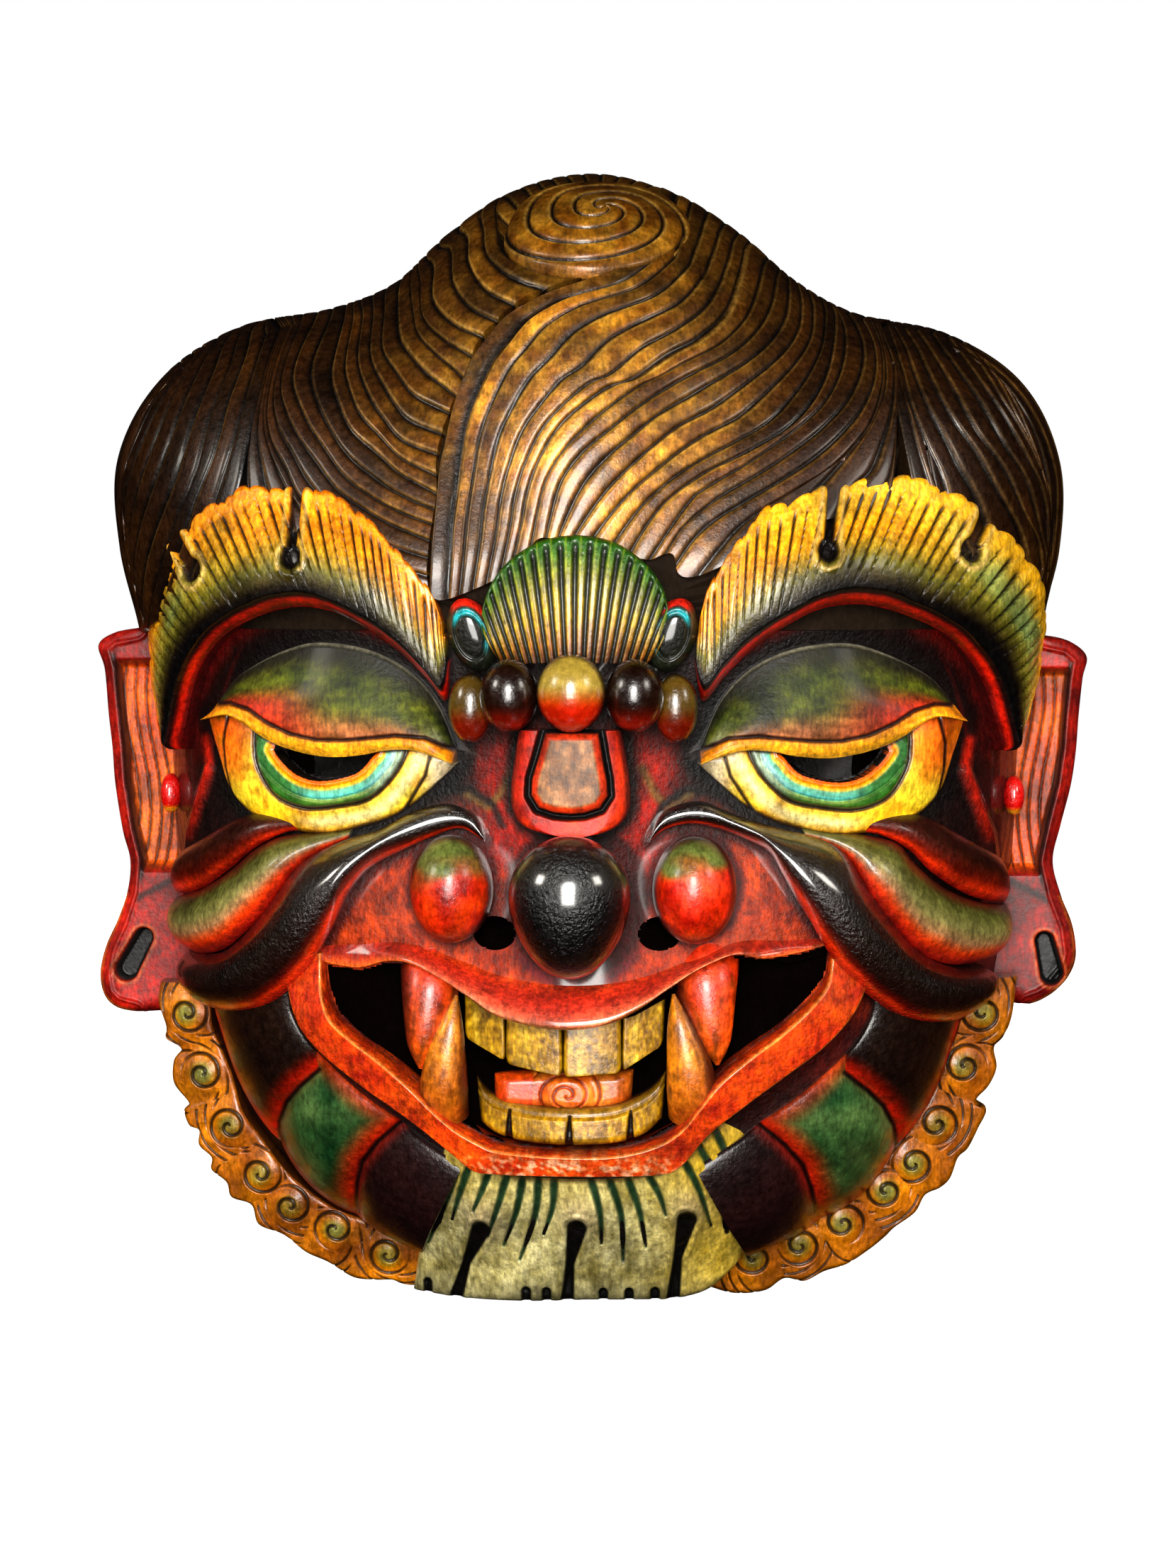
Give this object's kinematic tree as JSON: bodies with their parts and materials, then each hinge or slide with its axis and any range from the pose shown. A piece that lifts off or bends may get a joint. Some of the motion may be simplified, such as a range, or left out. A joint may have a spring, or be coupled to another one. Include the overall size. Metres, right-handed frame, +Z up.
{
  "type": "noh mask",
  "caption": "Large carved and painted wooden wall mask: fanged guardian face with combed hair, beads, long ears and a curled beard.",
  "frame": {"origin": "centre of the hang hole's mouth in the hanger plate, on the wall plane", "axes": "+Z up, +Y into the wall, -Y out of the face, +X to the viewer's right"},
  "size_m": [0.401, 0.204, 0.4432],
  "materials": {
    "shell_wood": "satin",
    "antique_gold_black": "satin",
    "ochre_yellow": "satin",
    "turquoise_black": "gloss",
    "yellow_green": "satin",
    "pale_gold": "satin",
    "black_gloss": "gloss",
    "olive_gold": "satin",
    "lacquer_red": "gloss",
    "moss_green": "satin",
    "dark_green": "satin",
    "amber_orange": "satin",
    "bare_wood": "matte",
    "plate_steel": "satin",
    "screw_brass": "satin"
  },
  "bodies": {
    "root": {"face_shell": "shell_wood", "hair_crown": "antique_gold_black", "left_brow": "ochre_yellow", "right_brow": "ochre_yellow", "left_brow_curl": "turquoise_black", "right_brow_curl": "turquoise_black", "forehead_fan": "yellow_green", "centre_bead": "pale_gold", "left_dark_bead": "black_gloss", "right_dark_bead": "black_gloss", "left_side_bead": "olive_gold", "right_side_bead": "olive_gold", "nose_tablet": "lacquer_red", "tablet_inlay": "pale_gold", "nose_bulb": "black_gloss", "left_nostril_wing": "lacquer_red", "right_nostril_wing": "lacquer_red", "left_eyeball": "ochre_yellow", "right_eyeball": "ochre_yellow", "left_eyelid": "moss_green", "right_eyelid": "moss_green", "left_upper_cheek_fold": "lacquer_red", "left_middle_cheek_fold": "moss_green", "left_lower_cheek_fold": "black_gloss", "right_upper_cheek_fold": "lacquer_red", "right_middle_cheek_fold": "moss_green", "right_lower_cheek_fold": "black_gloss", "upper_lip": "lacquer_red", "lower_lip": "lacquer_red", "upper_teeth": "pale_gold", "lower_teeth": "pale_gold", "tongue": "amber_orange", "left_upper_tusk": "amber_orange", "right_upper_tusk": "amber_orange", "left_lower_tusk": "amber_orange", "right_lower_tusk": "amber_orange", "left_jaw_panels": "dark_green", "right_jaw_panels": "dark_green", "chin_beard": "olive_gold", "left_beard_fringe": "ochre_yellow", "right_beard_fringe": "ochre_yellow", "left_ear": "lacquer_red", "right_ear": "lacquer_red", "ear_dowels": "bare_wood", "back_brace": "bare_wood", "hanger_plate": "plate_steel", "hanger_screws": "screw_brass"}
  },
  "joints": []
}
